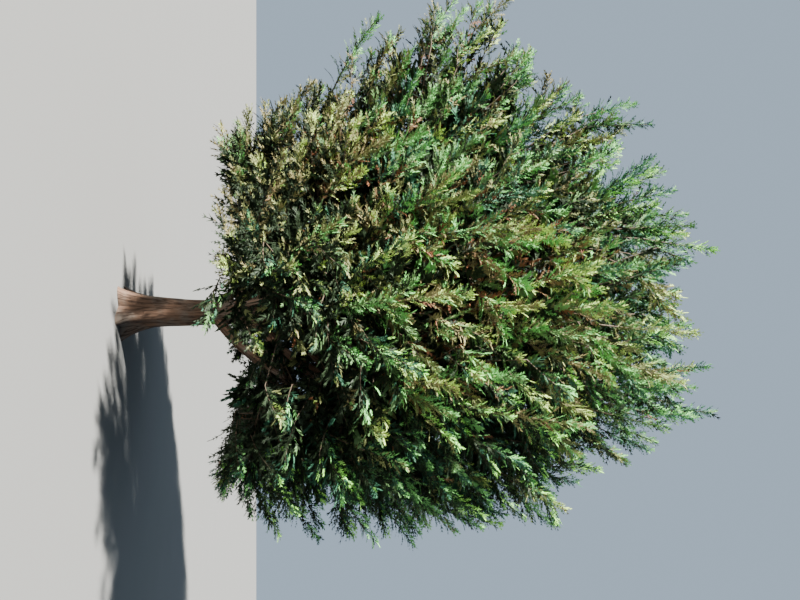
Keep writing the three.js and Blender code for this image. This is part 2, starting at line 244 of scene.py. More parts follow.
# Shoots round a plume's axis. Pairs run from the plume's foot to its tip, or are the ends of a random range.
PLUME_BOW = 0.07  # share of its length by which a plume's middle hangs below the straight line
PLUME_FLATNESS = 0.7
PLUME_POINT = 0.52  # how soon shoots shorten towards the tip
PLUME_SHOULDER = (-0.25, 0.3)  # share at which shoots begin and are full
PLUME_STEPS = 4
PLUME_TIP_RADIUS = 0.004
PLUME_TAPER = 0.8
TWIG_SAG = 0.05
SHOOT_STEP = 0.037
SHOOT_PLACES = (0.1, 0.9)  # where a shoot stands within its step
SHOOT_CROWDING = 0.85  # how much closer together shoots are at the tip
SHOOT_LEANS = (49, 20)  # degrees from the plume's axis
SHOOT_LEAN_SCATTER = (0.8, 1.2)
SHOOT_LENGTH_SCATTER = (0.75, 1.2)
SHORTEST_SHOOT = 0.03
SHORTEST_WOODY_SHOOT = 0.25
SHOOT_RISE = 0.08
SHOOT_NOD = 0.4
SHOOT_RADIUS = 0.011  # share of its length
FACE = SimpleNamespace(up=0.7, outward=0.55, scatter=0.3)  # what the flat of a shoot's sprays faces
LOW_FEET = (4.2, 3.2)  # heights between which inner growth becomes finer, because it shows from below
LOW_COARSE = 1.7

# Sprays on a shoot
SPRAY_STEP = 0.035
SPRAY_LEAN = 28  # degrees from the shoot
SPRAY_LEAN_SCATTER = (0.75, 1.15)
SPRAY_ROLL = 23
SPRAY_SCATTER = (0.78, 1.18)
SPRAY_TAPER = 0.75  # size of the last sprays to the sides
SPRAY_END = 1.1  # size of the spray at a shoot's end
SPRAYS_AT_TIP = SimpleNamespace(count=3, leans=(4, 22), sizes=(0.8, 1.1), inset=0.7)
PAINTED_SHADE_SIZE = 1.45  # painted-shade sprays of the outer plumes are larger, and only every second one grows

# Sprays on the bare wood between a stem and its plume
BARE = SimpleNamespace(
    step=0.16,
    places=(0.3, 1),
    leans=(25, 75),
    sizes=(1.8, 2.8),
    low_size=0.6,
    woody=0.4,  # part of them that sit on a shoot of wood
    shoot=0.8,  # length of that shoot, as a share of its spray's
)

# Outlines of the sprays: where a pair of lobes leaves the rib and how long it is
LOBE_PAIRS = [(0.05, 0.56), (0.58, 0.34)]
SLENDER_HALF = 0.088  # half the width of a lobe
BROAD_HALF = 0.155
BROAD_LEAN = 1.2
LOBE_LEANS = (0.8, 1.25)
LOBE_DROOPS = (0.03, 0.2)
LOBE_FOLDS = (0.15, 0.5)
LOBE_SHIFTS = (0.02, 0.06)

# Shades of the sprays, as plain colours. Some are painted shade, and the pale ones are partly painted
# highlight
SHADES = {
    "blue_green": (0.047, 0.143, 0.078),
    # painted shade: a darker copy of blue_green
    "blue_green_deep": (0.023, 0.076, 0.043),
    "grey_green": (0.1, 0.195, 0.066),
    # pale shades are young growth near a plume's end and also painted highlight on the upper sides of plumes
    "grey_green_pale": (0.15, 0.4, 0.115),
    "mid_green": (0.072, 0.14, 0.052),
    # painted shade: a darker copy of mid_green
    "mid_green_deep": (0.028, 0.072, 0.03),
    "olive": (0.172, 0.192, 0.072),
    "olive_brown": (0.185, 0.162, 0.07),
    # olive_pale and yellow_tip too are young growth and also painted highlight
    "olive_pale": (0.41, 0.56, 0.145),
    "yellow_tip": (0.29, 0.64, 0.13),
    # painted shade: a near-black green put inside the crown and on the shaded sides of plumes
    "shade_green": (0.0125, 0.0225, 0.0095),
    "dead_copper": (0.14, 0.055, 0.025),
    "dead_tan": (0.2, 0.12, 0.06),
}

# What the plumes of each part of the crown are made of: shades of their bodies and of their tip growth, by
# weight, and how many of their sprays are dark. The tip shades are also painted highlight. The darker shades
# and the dark sprays are painted shade, most on the right, away from the light, and low down under the
# crown's bulge, least in the centre and at the top.
MIXES = {
    "left": SimpleNamespace(
        body={"blue_green": 3, "blue_green_deep": 2, "grey_green": 4, "olive": 4, "olive_brown": 1},
        tips_and_highlights={"grey_green_pale": 5, "olive_pale": 1},
        dark=1.0,
    ),
    "top": SimpleNamespace(
        body={"blue_green": 6, "grey_green": 4, "mid_green": 1, "olive_brown": 1},
        tips_and_highlights={"grey_green_pale": 5, "yellow_tip": 1},
        dark=0.75,
    ),
    "centre": SimpleNamespace(
        body={"olive": 5, "olive_brown": 4, "grey_green": 6, "grey_green_pale": 5},
        tips_and_highlights={"olive_pale": 5, "grey_green_pale": 2},
        dark=0.2,
    ),
    "right": SimpleNamespace(
        body={"mid_green": 2, "mid_green_deep": 3, "blue_green_deep": 5, "olive": 1},
        tips_and_highlights={"yellow_tip": 2, "grey_green_pale": 3},
        dark=2.2,
    ),
    "leader": SimpleNamespace(
        body={"olive": 4, "olive_brown": 4, "grey_green": 3, "blue_green": 1},
        tips_and_highlights={"olive": 1, "grey_green_pale": 2},
        dark=1.0,
    ),
    "low_left": SimpleNamespace(
        body={"olive": 5, "olive_brown": 6, "mid_green": 1},
        tips_and_highlights={"olive_pale": 1, "olive": 1, "grey_green_pale": 1},
        dark=1.1,
    ),
    "low_centre": SimpleNamespace(
        body={"olive": 4, "olive_brown": 1, "mid_green": 3, "blue_green_deep": 2},
        tips_and_highlights={"olive_pale": 3, "grey_green_pale": 1},
        dark=2.6,
    ),
    "low_right": SimpleNamespace(
        body={"mid_green_deep": 4, "blue_green_deep": 6, "mid_green": 1},
        tips_and_highlights={"yellow_tip": 2, "grey_green_pale": 1},
        dark=3.0,
    ),
}

# Where the parts of the crown begin and are full: low and top by height, the others by the place along X
BORDERS = SimpleNamespace(
    left=(-0.2, -2.4),
    right=(0.2, 2.2),
    leader=(-3.9, -4.5),
    low=(4.8, 3.4),
    top=(7.8, 9.6),
)
CENTRE_EVERYWHERE = 0.08  # weight of the centre's mix outside the centre
STRONG_MIX = 2  # weight of the top's and the leader's mix

# How likely a spray is pale or dark. Pale is young growth towards a plume's end and also painted highlight;
# dark is painted shade. along runs from a plume's foot to its tip, around from its shaded side to its lit
# one, and low is the factor low in the crown, where more painted shade falls.
PALE = SimpleNamespace(
    along=(0.16, 0.72),
    around=(0.08, 1.45),
    # painted shade: plumes deeper in the crown are less often pale
    depth_loss=0.6,
    limits=(0.05, 0.85),
    low=0.4,
)
PAINTED_SHADE = SimpleNamespace(along=(0.42, 0.08), around=(2.1, 0.35), inside=0.7, low=2.4, tip_fade=(1.0, 0.75))
PALE_RISE = 0.35  # pale sprays grow more likely along a shoot, dark painted-shade ones less
PAINTED_SHADE_FALL = 1.25
TONE = SimpleNamespace(depth=1.1, scale=1.1, scatter=0.45, limits=(0.1, 1.9))  # patches of plumes
LIT_STEEPNESS = 1.6  # how sharply a plume's upper side, with painted highlight, is parted from its lower one, with painted shade
DEPTH_REACHES = (1.0, 0.88)  # from the crown's surface to where a plume counts as inside; deeper plumes get more painted shade
LOW_TIPS = (4.2, 2.7)  # heights between which a plume comes to count as low, and gets more painted shade
FIRST_SHADE = 0.7  # part of a plume's shoots that have its first shade

# Dead growth: directions from the fan point in which it shows in the gaps, as azimuth, elevation and spread
# in degrees
DEAD_PLACES = [
    (-110, 47, 9),
    (-96, 36, 12),
    (-72, 30, 8),
    (-150, 16, 14),
    (-118, 18, 10),
]
DEAD_EVERYWHERE = 0.04
DEAD_IN_PLACE = 0.75
DEAD_MOST = 0.8
DEAD_SHRINKAGE = 0.6
PAINTED_SHADE_OR_DEAD_INSIDE = 0.6  # part of the shoots of inner plumes that are near-black painted shade or dead
DEAD_FOOT = 0.55  # share of a plume up to which its shoots may be dead
DEAD_FOOT_PART = 0.35
COPPER_SHOOTS = 0.6  # part of the dead shoots that are copper, and not tan
COPPER_BARE = 0.7

LARGEST_PIECE = 190000  # triangles


def scatter(item, feature):
    """Repeatable scatter between 0 and 1 for an item and one of its features."""
    item_step, feature_step, stretch = 12.9898, 78.233, 43758.5453
    value = math.sin(item * item_step + feature * feature_step) * stretch
    return value - math.floor(value)


def lerp(low, high, share):
    return low + (high - low) * share


def clamp(value, low=0.0, high=1.0):
    return min(high, max(low, value))


def smooth(low, high, value):
    share = clamp((value - low) / (high - low))
    return share * share * (3 - 2 * share)


def heading_of(azimuth, elevation):
    a = math.radians(azimuth)
    e = math.radians(elevation)
    return Vector((math.cos(a) * math.cos(e), math.sin(a) * math.cos(e), math.sin(e)))


def nearness(heading, azimuth, elevation, spread):
    """1 in the given direction, fading to 0 within a few times the spread."""
    apart = math.degrees(heading.angle(heading_of(azimuth, elevation)))
    return math.exp(-((apart / spread) ** 2))


def crown_reach(heading):
    """Distance from the fan point to the mean surface of the foliage."""
    level = math.hypot(heading.x, heading.y)
    rise, power = (CROWN_RISE, CROWN_SQUARENESS) if heading.z > 0 else (SKIRT_DROP, SKIRT_SQUARENESS)
    even = ((level / CROWN_RADIUS) ** power + (abs(heading.z) / rise) ** power) ** (-1 / power)
    swelling = 0
    for azimuth, elevation, share, spread in SWELLINGS:
        swelling += share * nearness(heading, azimuth, elevation, spread)
    return even * (1 + swelling)


class Bezier:
    """A quadratic curve through its two ends."""

    def __init__(self, start, middle, end):
        self.start, self.middle, self.end = start, middle, end

    def point(self, share):
        return self.start.lerp(self.middle, share).lerp(self.middle.lerp(self.end, share), share)

    def tangent(self, share):
        return (self.middle - self.start).lerp(self.end - self.middle, share).normalized()


def trunk_middle(height):
    share = height / TRUNK_HEIGHT
    sway = TRUNK_SWAY * math.sin(2 * math.pi * share)
    return Vector((TRUNK_LEAN * share**2 + sway * share, -sway * share, height))


def trunk_radius(height, angle):
    taper = (1 - height / TRUNK_HEIGHT) ** TRUNK_TAPER
    ridges = 1 + RIDGE_DEPTH * math.cos(ROOT_RIDGES * angle)
    flare = FLARE_RADIUS * math.exp(-height / FLARE_HEIGHT) * ridges
    return lerp(TRUNK_TIP_RADIUS, TRUNK_FOOT_RADIUS, taper) + flare


def lay_out_masses():
    """Every mass of the crown: its heading, where its foliage begins and how high its bough leaves."""
    masses = []
    full_turn = 360
    for level, tier in enumerate(TIERS):
        for i in range(tier.count):
            item = level * TIER_ITEMS + i
            uneven = UNEVEN_TURN * (scatter(item, FEATURE.azimuth) - 0.5)
            azimuth = tier.turn + full_turn / tier.count * (i + uneven)
            elevation = tier.elevation + UNEVEN_ELEVATION * (scatter(item, FEATURE.elevation) - 0.5)
            heading = heading_of(azimuth, elevation)
            start = FAN_POINT + heading * tier.inner
            leaves = tier.leaves + TIER_STAGGER * (i * GOLDEN_SHARE % 1 - 0.5)
            masses.append(SimpleNamespace(item=item, heading=heading, start=start, leaves=leaves))
    top = trunk_middle(TRUNK_HEIGHT)
    masses.append(SimpleNamespace(item=LEADER_ITEM, heading=UP.copy(), start=top, leaves=None))
    for mass in masses:
        mass.inner = (mass.start - FAN_POINT).dot(mass.heading)
        mass.tip = FAN_POINT + mass.heading * crown_reach(mass.heading)
        mass.edges = np.array([(mass.heading - m.heading).normalized() for m in masses if m is not mass])
    return masses


def fits(mass, points):
    """True if every point is in the mass's cone, beyond its bough's tip and above the lowest foliage."""
    away = np.array([p - FAN_POINT for p in points])
    lowest = min(p.z for p in points)
    nearest = (away @ np.array(mass.heading)).min()
    in_cone = (away @ mass.edges.T).min() > SPACE_GAP
    return lowest > LOWEST_FOLIAGE and nearest > mass.inner + LIMB_CLEARANCE and in_cone


def turned(heading, towards, angle):
    return heading * math.cos(angle) + towards * math.sin(angle)


def around(direction, angle, rng):
    """A direction turned from the given one by an angle, to a side that is drawn at random."""
    side = direction.orthogonal().normalized()
    side.rotate(Quaternion(direction, rng.uniform(0, 2 * math.pi)))
    return turned(direction, side, angle)


def scattered(rng, spread):
    return Vector([rng.gauss(0, spread) for _ in range(3)])


def cone_width(mass, towards):
    """How far a mass's cone runs from its heading, in radians, towards a neighbouring direction."""
    angles = CONE_STEP * np.arange(1, round(WIDEST_CONE / CONE_STEP) + 1)
    headings = np.outer(np.cos(angles), mass.heading) + np.outer(np.sin(angles), towards)
    too_low = headings[:, 2] < math.sin(math.radians(LOWEST_ELEVATION))
    outside = too_low | (headings @ mass.edges.T < 0).any(axis=1)
    return CONE_STEP * (int(np.argmax(outside)) if outside.any() else len(angles))


def cross_directions(heading):
    steepest = 0.99
    aside = UP if abs(heading.z) < steepest else Vector((0, 1, 0))
    level = aside.cross(heading).normalized()
    return level, heading.cross(level)


def bough_curve(mass):
    foot = trunk_middle(mass.leaves)
    middle = foot.lerp(mass.start, 0.5) - UP * BOUGH_SAG * (mass.start - foot).length
    return Bezier(foot, middle, mass.start)


def stem_curve(mass):
    arrives = UP.copy() if mass.leaves is None else bough_curve(mass).tangent(1)
    foot = mass.start + arrives * JOINT_GAP
    length = (mass.tip - foot).length * STEM_SHARE
    return Bezier(foot, foot + arrives * length * STEM_BEND, foot.lerp(mass.tip, STEM_SHARE))


def plume_count(mass):
    level, steep = cross_directions(mass.heading)
    sides = (level, steep, -level, -steep)
    width = sum(cone_width(mass, side) for side in sides) / len(sides)
    area = math.pi * (width * crown_reach(mass.heading)) ** 2
    return int(clamp(math.floor(area / PLUME_AREA + 0.5), FEWEST_PLUMES, MOST_PLUMES))


def plume_plan(
    mass, item, towards, outward, draw, size, length, reach, swerve=0, upturn=PLUME_UPTURN, lean_out=0
):
    """A plume's foot, tip and directions, where it ends at a share of the crown's reach."""
    level, _ = cross_directions(mass.heading)
    heading = turned(mass.heading, towards, cone_width(mass, towards) * outward * draw)
    tip = FAN_POINT + heading * crown_reach(heading) * reach
    along = (heading + UP * upturn + towards * PLUME_SPREAD * outward + level * swerve).normalized()
    along = (along + Vector((lean_out, 0, 0))).normalized()
    across = along.cross(level).cross(along).normalized()
    across.rotate(Quaternion(along, math.pi * scatter(item, FEATURE.roll)))
    return SimpleNamespace(
        item=item,
        heading=heading,
        reach=reach,
        tip=tip,
        along=along,
        across=across,
        foot=tip - along * length * size,
        size=size,
        length=length * size,
    )


def plume_outline(plan):
    """The corners of the solid plume that the part's source makes there."""
    flat = plan.across.cross(plan.along)
    half = PLUME_WIDTH * plan.size / 2
    lift = PLUME_THICKNESS / 2
    corners = []
    for along, across, up in PLUME_CORNERS:
        on_axis = plan.foot + plan.along * along * plan.length
        corners.append(on_axis + plan.across * (across * half) + flat * (up * lift))
    return corners


def sunflower_place(mass, k, count, start, feature):
    """Where a plume stands, like a seed of a sunflower: to which side of the heading and how far out."""
    level, steep = cross_directions(mass.heading)
    turn = GOLDEN_ANGLE * k + 2 * math.pi * scatter(mass.item, feature)
    return level * math.cos(turn) + steep * math.sin(turn), math.sqrt((k + start) / count)


def main_plumes(mass, stem):
    """The plumes that the part's source makes. One that doesn't fit is drawn in towards the heading."""
    count = plume_count(mass)
    for k in range(count):
        item = mass.item * PLUME_ITEMS + k
        towards, outward = sunflower_place(mass, k, count, MAIN_START, FEATURE.turn)
        size = lerp(*PLUME_SIZES, scatter(item, FEATURE.size))
        stray = STRAY_REACH if scatter(item, FEATURE.stray) < STRAY_PART else 0
        reach = lerp(*PLUME_REACHES, scatter(item, FEATURE.reach)) + stray
        twig_foot = stem.point(lerp(TWIG_HIGHEST, TWIG_LOWEST, outward))
        for draw in DRAWS:
            plan = plume_plan(mass, item, towards, outward, draw, size, PLUME_LENGTH, reach)
            if fits(mass, [*plume_outline(plan), twig_foot]):
                plan.kind = MAIN
                plan.twig_foot = twig_foot
                yield plan
                break


def lean_of(mass, towards, outward):
    """How far a filling plume leans out to the right, or to the left where it is below zero."""
    lean = LEAN_OUT
    sideways = mass.heading.x + towards.x * outward * lean.outward
    low = smooth(*lean.low_rises, mass.heading.z) * smooth(*lean.low_sides, mass.heading.x)
    right = lean.right * smooth(*lean.right_sides, sideways + lean.low_shift * low)
    left = lean.left * smooth(*lean.left_sides, sideways)
    return (right - left) * (1 - lean.side_loss * smooth(*lean.side_headings, abs(mass.heading.x)))


def filling_plumes(mass, stem, filling):
    """Plumes between and below the main ones, by the same rule. Fewer stand on the underside of the mass."""
    leader = smooth(*LEADER_OUT, -mass.heading.x * crown_reach(mass.heading))
    count = round(plume_count(mass) * filling.ratio * (1 + LEADER_FULLNESS * leader))
    for k in range(count):
        item = (mass.item + 1) * FILLING_ITEMS + filling.feature * PLUME_ITEMS + k
        towards, outward = sunflower_place(mass, k, count, FILLING_START, filling.feature)
        outward *= EDGE_OVERLAP
        underneath = towards.z < UNDERSIDE.drop and outward > UNDERSIDE.outward
        if underneath and scatter(item, FILLING_FEATURE.underside) < UNDERSIDE.left_out:
            continue
        size = lerp(*PLUME_SIZES, scatter(item, FEATURE.size))
        clump = CLUMP_DEPTH * noise.noise(turned(mass.heading, towards, outward) * CLUMP_SCALE)
        top = TOP_FALL * smooth(*TOP_HEADINGS, mass.heading.z)
        reach = lerp(*filling.reach, scatter(item, FEATURE.reach)) + clump - top
        reach *= 1 - EDGE_FALL * outward**2
        swerve = lerp(-SWERVE, SWERVE, scatter(item, FILLING_FEATURE.swerve))
        upturn = PLUME_UPTURN * lerp(*UPTURN_SHARES, scatter(item, FILLING_FEATURE.upturn))
        lean = lean_of(mass, towards, outward)
        plan = plume_plan(mass, item, towards, outward, 1, size, filling.length, reach, swerve, upturn, lean)
        if min(plan.foot.z, plan.tip.z) > LOWEST_FOLIAGE:
            plan.kind = filling
            plan.twig_foot = stem.point(lerp(TWIG_HIGHEST, TWIG_LOWEST, outward))
            yield plan


class Growth:
    """What grows: wood as lines of points with a radius, shoots and sprays as placed shapes."""

    def __init__(self):
        self.lines = []
        self.shoots = []
        self.sprays = {shade: [] for shade in SHADES}

    def line(self, points, radii):
        self.lines.append((points, radii))

    def shoot(self, foot, direction, length):
        self.shoots.append((foot, direction.to_track_quat("Y", "Z"), length, 0))

    def spray(self, shade, foot, direction, face, length, shape):
        across = direction.cross(face).normalized()
        upright = across.cross(direction)
        turn = Matrix((across, direction, upright)).transposed().to_quaternion()
        self.sprays[shade].append((foot, turn, length, shape))


def pick(weights, rng):
    return rng.choices(list(weights), list(weights.values()))[0]


def part_of_crown(place, rng):
    """Which mix of shades a plume has, by its place, with soft borders."""
    left = smooth(*BORDERS.left, place.x)
    right = smooth(*BORDERS.right, place.x)
    low = smooth(*BORDERS.low, place.z)
    centre = 1 - max(left, right) + CENTRE_EVERYWHERE
    weights = {
        "left": left * (1 - low),
        "low_left": left * low,
        "right": right * (1 - low),
        "low_right": right * low,
        "centre": centre * (1 - low),
        "low_centre": centre * low,
        "top": STRONG_MIX * smooth(*BORDERS.top, place.z),
        "leader": STRONG_MIX * smooth(*BORDERS.leader, place.x),
    }
    return pick(weights, rng)


def deadness(place):
    """How likely inner growth is dead, by its direction from the fan point."""
    heading = (place - FAN_POINT).normalized()
    found = DEAD_EVERYWHERE
    for azimuth, elevation, spread in DEAD_PLACES:
        found += DEAD_IN_PLACE * nearness(heading, azimuth, elevation, spread)
    return min(found, DEAD_MOST)


def pale_and_dark(plan, mix, tone, share, lit):
    """How likely a shoot's sprays are pale, as growth towards the end and painted highlight, and dark, as
    painted shade, by its place on the plume and by the plume's place.
    """
    lowness = smooth(*LOW_TIPS, plan.tip.z)
    depth = smooth(*DEPTH_REACHES, plan.reach)
    # plumes inside the crown get no painted highlight and much painted shade
    pale, dark = 0, PAINTED_SHADE.inside
    if not plan.kind.inside:
        pale = lerp(*PALE.along, share) * lerp(*PALE.around, lit) * tone * (1 - PALE.depth_loss * depth)
        dark = lerp(*PAINTED_SHADE.along, share) * lerp(*PAINTED_SHADE.around, lit) * mix.dark * (2 - tone) * (1 + depth)
    pale = smooth(*PALE.limits, pale) * lerp(1, PALE.low, lowness)
    dark *= lerp(1, PAINTED_SHADE.low, lowness) * smooth(*PAINTED_SHADE.tip_fade, share)
    return pale, dark


def paint_shade_or_wither(style, plan, place, share, rng):
    """Turns some shoots near-black with painted shade, or dead: many inside the crown, and a few at the foot
    of any plume, where they are only dead.
    """
    if plan.kind.inside and rng.random() < PAINTED_SHADE_OR_DEAD_INSIDE:
        style.body = "shade_green"
        if rng.random() < deadness(plan.foot):
            style.body = "dead_copper"
            style.spray *= DEAD_SHRINKAGE
    elif share < DEAD_FOOT and rng.random() < DEAD_FOOT_PART * deadness(place):
        style.body = style.tip = "dead_copper" if rng.random() < COPPER_SHOOTS else "dead_tan"


def grow_shoot(growth, foot, direction, length, face, style, rng):
    """A shoot that nods at its end, with sprays to both sides in one plane and one spray at its end."""
    face = (face - direction * face.dot(direction)).normalized()
    aside = direction.cross(face)
    count = max(1, round(length / style.step))
    place = foot.copy()
    for k in range(count + 1):
        share = k / count
        heading = (direction - UP * SHOOT_NOD * share**2).normalized()
        last = k == count
        lean = 0 if last else math.radians(SPRAY_LEAN) * rng.uniform(*SPRAY_LEAN_SCATTER)
        along = turned(heading, aside if k % 2 else -aside, lean).normalized()
        front = face.copy()
        front.rotate(Quaternion(along, math.radians(SPRAY_ROLL) * rng.gauss(0, 1)))
        taper = SPRAY_END if last else lerp(1, SPRAY_TAPER, share)
        size = style.spray * rng.uniform(*SPRAY_SCATTER) * taper
        # pale: growth towards the shoot's end, and painted highlight where the plume's upper side is dealt
        # more
        shade = style.tip if rng.random() < style.pale * (PALE_RISE + share) else style.body
        thinned = False
        # painted shade: a near-black spray in place of a lit one
        if rng.random() < style.dark * (PAINTED_SHADE_FALL - share):
            shade = "shade_green"
            if style.shapes is SLENDER_SHAPES:
                size *= PAINTED_SHADE_SIZE
                thinned = k % 2 == 1
        if not thinned:
            growth.spray(shade, place, along, front, size, rng.choice(style.shapes))
        place = place + heading * length / count
    if length > SHORTEST_WOODY_SHOOT:
        growth.shoot(foot, direction, length)


def grow_wood(growth, plan, axis):
    """A plume's twig from the stem and its axis, as one line that thins towards the tip."""
    points = [plan.twig_foot, plan.twig_foot.lerp(plan.foot, 0.5) - UP * TWIG_SAG]
    points += [axis.point(k / PLUME_STEPS) for k in range(PLUME_STEPS + 1)]
    thick = TWIG_FOOT_RADIUS * plan.size * (MAIN_THICKNESS if plan.kind is MAIN else FILLING_THICKNESS)
    shares = [k / (len(points) - 1) for k in range(len(points))]
    growth.line(points, [lerp(thick, PLUME_TIP_RADIUS, share**PLUME_TAPER) for share in shares])


def grow_bare_sprays(growth, plan, settings, rng):
    """Large sprays on the bare wood between the stem and the plume: near-black painted shade, or dead."""
    bare = (plan.foot - plan.twig_foot).length
    for _ in range(round(bare / BARE.step)):
        place = plan.twig_foot.lerp(plan.foot, rng.uniform(*BARE.places))
        direction = around(plan.along, math.radians(rng.uniform(*BARE.leans)), rng)
        dead = rng.random() < deadness(place)
        # painted shade: near-black sprays deep in the crown, unless dead
        shade = "shade_green"
        if dead:
            shade = "dead_copper" if rng.random() < COPPER_BARE else "dead_tan"
        face = scattered(rng, 1)
        low = smooth(*LOW_FEET, place.z)
        size = settings.spray_length * rng.uniform(*BARE.sizes) * lerp(1, BARE.low_size, low)
        if dead:
            size *= DEAD_SHRINKAGE
        growth.spray(shade, place, direction, face, size, rng.choice(BROAD_SHAPES))
        if rng.random() < BARE.woody:
            growth.shoot(place, direction, size * BARE.shoot)


def grow_plume(growth, plan, settings):
    """A plume: its wood, the shoots round its axis, a few sprays at its tip and those on its bare wood."""
    rng = random.Random(plan.item)
    mix = MIXES[part_of_crown(plan.tip, rng)]
    body, second, tip_and_highlight_shade = pick(mix.body, rng), pick(mix.body, rng), pick(mix.tips_and_highlights, rng)
    end = plan.tip - plan.along * settings.spray_length * SPRAYS_AT_TIP.inset
    axis = Bezier(plan.foot, plan.foot.lerp(end, 0.5) - UP * PLUME_BOW * plan.length, end)
    flat = plan.across.cross(plan.along)
    patches = TONE.depth * noise.noise(plan.tip * TONE.scale)
    tone = clamp(1 + patches + rng.uniform(-TONE.scatter, TONE.scatter), *TONE.limits)
    low = smooth(*LOW_FEET, plan.foot.z)
    coarse = min(plan.kind.coarse, lerp(plan.kind.coarse, LOW_COARSE, low))
    shapes = BROAD_SHAPES if plan.kind.inside else SLENDER_SHAPES
    grow_wood(growth, plan, axis)

    count = round(plan.length / SHOOT_STEP / coarse)
    for j in range(count):
        share = ((j + rng.uniform(*SHOOT_PLACES)) / count) ** SHOOT_CROWDING
        angle = GOLDEN_ANGLE * j
        side = (plan.across * math.cos(angle) + flat * math.sin(angle) * PLUME_FLATNESS).normalized()
        lean = math.radians(lerp(*SHOOT_LEANS, share) * rng.uniform(*SHOOT_LEAN_SCATTER))
        direction = (turned(axis.tangent(share), side, lean) + UP * SHOOT_RISE).normalized()
        fullness = (1 - share) ** PLUME_POINT * smooth(*PLUME_SHOULDER, share)
        length = settings.shoot_length * plan.size * fullness * rng.uniform(*SHOOT_LENGTH_SCATTER)
        length += SHORTEST_SHOOT
        face = UP * FACE.up + plan.heading * FACE.outward + scattered(rng, FACE.scatter)
        shade = body if rng.random() < FIRST_SHADE else second
        # painted light: the upper side of a plume gets more pale sprays, its lower side more dark ones
        lit = 0.5 + 0.5 * clamp(side.z * LIT_STEEPNESS, -1, 1)
        pale, dark = pale_and_dark(plan, mix, tone, share, lit)
        style = SimpleNamespace(
            body=shade,
            tip=tip_and_highlight_shade,
            pale=pale,
            dark=dark,
            spray=settings.spray_length * coarse,
            step=SPRAY_STEP * coarse,
            shapes=shapes,
        )
        paint_shade_or_wither(style, plan, axis.point(share), share, rng)
        grow_shoot(growth, axis.point(share), direction, length, face, style, rng)

    for _ in range(SPRAYS_AT_TIP.count):
        direction = around(axis.tangent(1), math.radians(rng.uniform(*SPRAYS_AT_TIP.leans)), rng)
        size = settings.spray_length * rng.uniform(*SPRAYS_AT_TIP.sizes)
        growth.spray(tip_and_highlight_shade, end, direction, UP + plan.heading, size, rng.choice(SLENDER_SHAPES))
    grow_bare_sprays(growth, plan, settings, rng)


def grow_tree(settings):
    """The whole crown's wood, shoots and sprays."""
    growth = Growth()
    for mass in lay_out_masses():
        stem = stem_curve(mass)
        radius = TRUNK_TIP_RADIUS if mass.leaves is None else BOUGH_TIP_RADIUS
        shares = [k / STEM_STEPS for k in range(STEM_STEPS + 1)]
        growth.line([stem.point(s) for s in shares], [lerp(radius, STEM_TIP_RADIUS, s) for s in shares])
        plumes = list(main_plumes(mass, stem))
        for filling in FILLINGS:
            plumes += filling_plumes(mass, stem, filling)
        for plan in plumes:
            grow_plume(growth, plan, settings)
    return growth


class Nodes:
    """Adds nodes to a tree, each by its type, its settings and its sockets' values or links."""

    def __init__(self, tree):
        self.tree = tree

    def add(self, kind, settings=None, sockets=None):
        node = self.tree.nodes.new(kind)
        for name, value in (settings or {}).items():
            setattr(node, name, value)
        for name, value in (sockets or {}).items():
            if isinstance(value, Wire):
                self.tree.links.new(value.socket, node.inputs[name])
            else:
                node.inputs[name].default_value = value
        return node

    def wire(self, kind, settings=None, sockets=None, output=None):
        """The node's output, by its name or the first that the settings leave in use."""
        node = self.add(kind, settings, sockets)
        found = [s for s in node.outputs if s.enabled and (output is None or s.name == output)]
        return Wire(self, found[0])


class Wire:
    """A socket that takes part in sums: an expression on values adds its Math nodes."""

    def __init__(self, nodes, socket):
        self.nodes = nodes
        self.socket = socket

    def math(self, operation, first, second):
        return self.nodes.wire("ShaderNodeMath", {"operation": operation}, {0: first, 1: second})

    def __add__(self, other):
        return self.math("ADD", self, other)

    def __sub__(self, other):
        return self.math("SUBTRACT", self, other)

    def __mul__(self, other):
        return self.math("MULTIPLY", self, other)

    def __rsub__(self, other):
        return self.math("SUBTRACT", other, self)

    __radd__ = __add__
    __rmul__ = __mul__


def new_material(name, **values):
    """A material with one Principled shader, whose plain values are set on its own sockets."""
    material = bpy.data.materials.new(name)
    material.use_nodes = True
    material.node_tree.nodes.clear()
    nodes = Nodes(material.node_tree)
    shader = nodes.add("ShaderNodeBsdfPrincipled")
    for socket, value in values.items():
        shader.inputs[socket.replace("_", " ")].default_value = value
    output = nodes.add("ShaderNodeOutputMaterial")
    material.node_tree.links.new(shader.outputs["BSDF"], output.inputs["Surface"])
    return material, nodes, shader


def feed(nodes, shader, socket, wire):
    nodes.tree.links.new(wire.socket, shader.inputs[socket])


def mixed(nodes, factor, first, second):
    """A colour between two, each a plain colour or a wire."""
    factor_socket, first_socket, second_socket = 0, 6, 7  # where a Mix node of colours has them
    first, second = (colour if isinstance(colour, Wire) else (*colour, 1) for colour in (first, second))
    sockets = {factor_socket: factor, first_socket: first, second_socket: second}
    return nodes.wire("ShaderNodeMix", {"data_type": "RGBA"}, sockets)


def clouds(nodes, place, scale, detail, roughness=0.5):
    """Noise between 0 and 1."""
    sockets = {"Vector": place, "Scale": scale, "Detail": detail, "Roughness": roughness}
    return nodes.wire("ShaderNodeTexNoise", sockets=sockets)


def faded(nodes, value, span, ends):
    """Runs smoothly between two ends while a value crosses a span."""
    sockets = {0: value, 1: span[0], 2: span[1], 3: ends[0], 4: ends[1]}
    return nodes.wire("ShaderNodeMapRange", {"interpolation_type": "SMOOTHSTEP"}, sockets)


def feed_roughness(nodes, shader, pattern, least, gain):
    feed(nodes, shader, "Roughness", least + pattern * gain)


def feed_bump(nodes, shader, height, strength, distance):
    sockets = {"Height": height, "Strength": strength, "Distance": distance}
    feed(nodes, shader, "Normal", nodes.wire("ShaderNodeBump", sockets=sockets))


def shaded(colour, factor):
    return [part * factor for part in colour]


